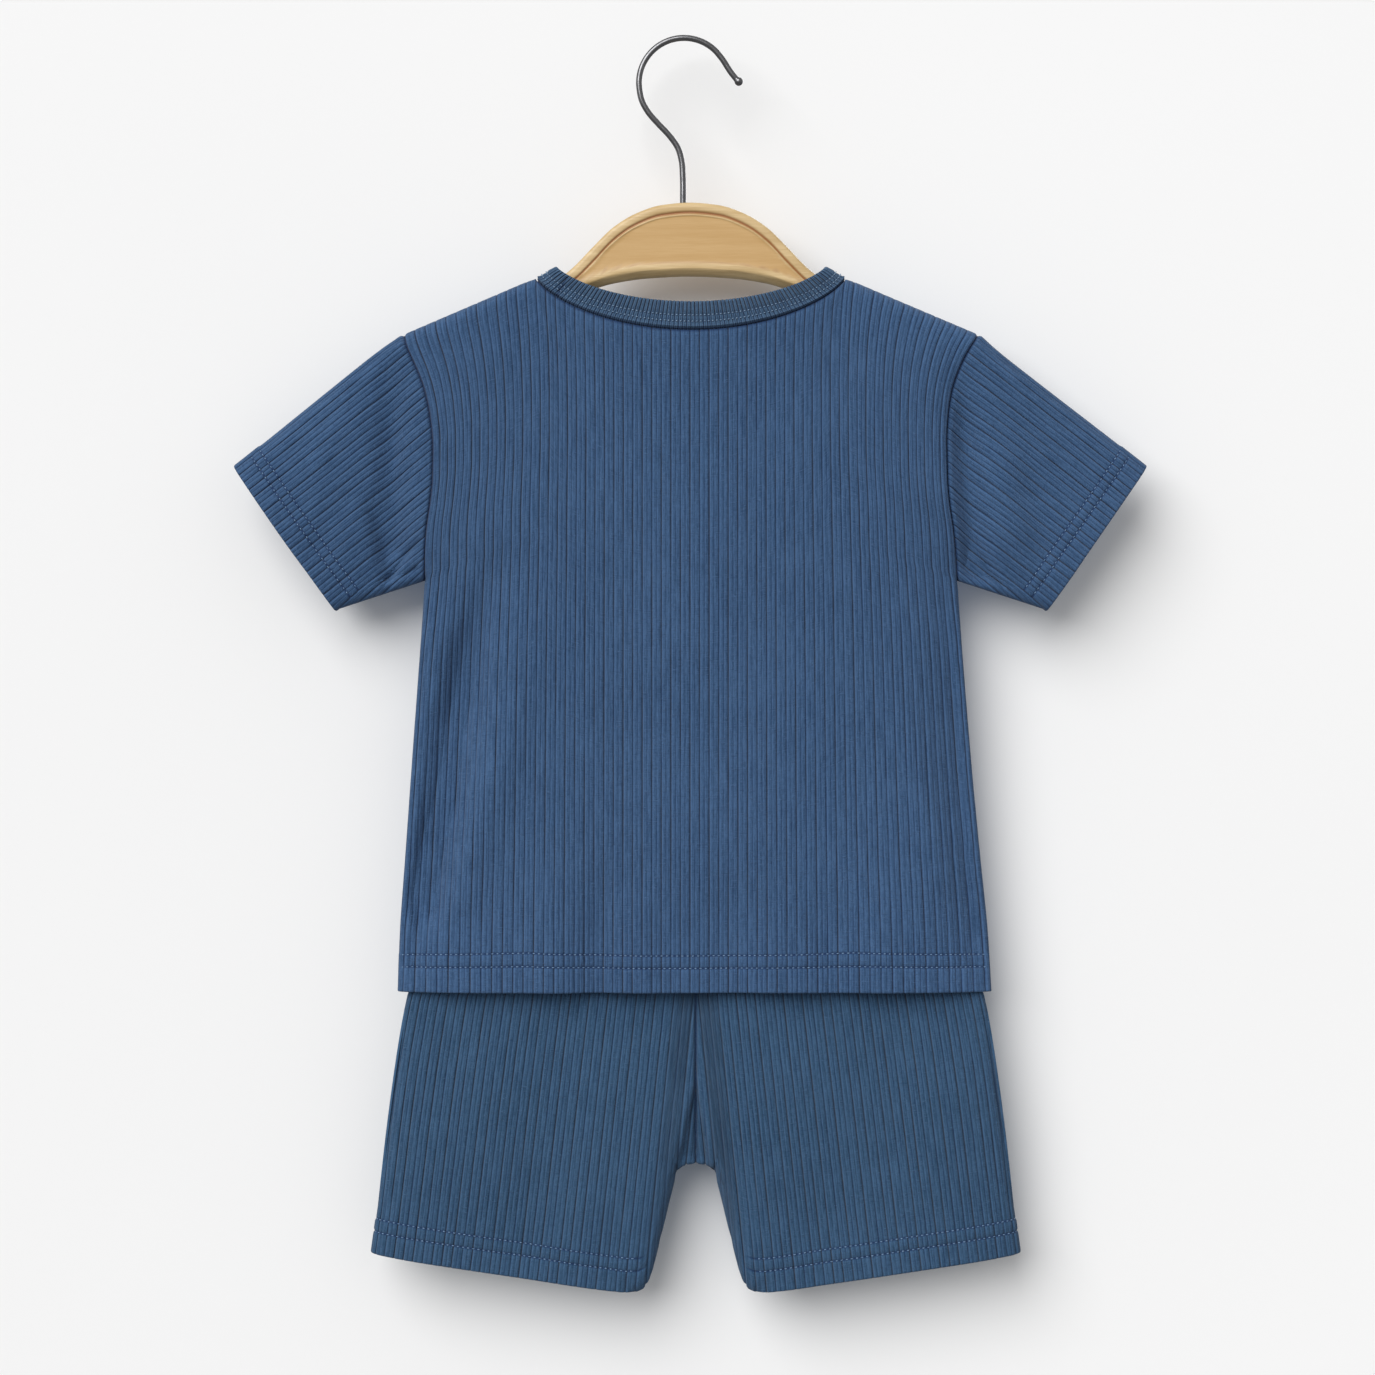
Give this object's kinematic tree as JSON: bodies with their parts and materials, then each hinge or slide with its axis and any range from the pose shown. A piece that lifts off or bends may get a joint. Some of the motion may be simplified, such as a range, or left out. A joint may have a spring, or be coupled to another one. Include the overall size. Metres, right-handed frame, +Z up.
{
  "type": "t-shirt and shorts set on a hanger",
  "caption": "Toddler's short-sleeved crew-neck T-shirt and pull-on shorts in wide-rib knit, hung on a wooden hanger with a wire hook.",
  "frame": {"origin": "underside of the hook's top bend, where a rod or peg carries the hanger", "axes": "+Z up, +X to the right of someone who faces the garment's back, +Y from the garment's back to its front"},
  "size_m": [0.4804, 0.029, 0.6613],
  "materials": {
    "shirt_knit": "wide-rib cotton knit, matt",
    "neck_rib": "fine-rib cotton knit, matt",
    "shorts_knit": "wide-rib cotton knit, matt",
    "wood": "clear-lacquered pale wood",
    "hook_steel": "polished dark steel wire",
    "clip_steel": "plain steel"
  },
  "bodies": {
    "root": {"shirt_back": "shirt_knit", "shirt_front": "shirt_knit", "sleeve_left": "shirt_knit", "sleeve_right": "shirt_knit", "neckband": "neck_rib", "shorts_back_left": "shorts_knit", "shorts_back_right": "shorts_knit", "shorts_front_left": "shorts_knit", "shorts_front_right": "shorts_knit", "shorts_waistband": "shorts_knit", "hanger_body": "wood", "hanger_hook": "hook_steel", "drop_clip_left": "clip_steel", "drop_clip_right": "clip_steel"}
  },
  "joints": []
}
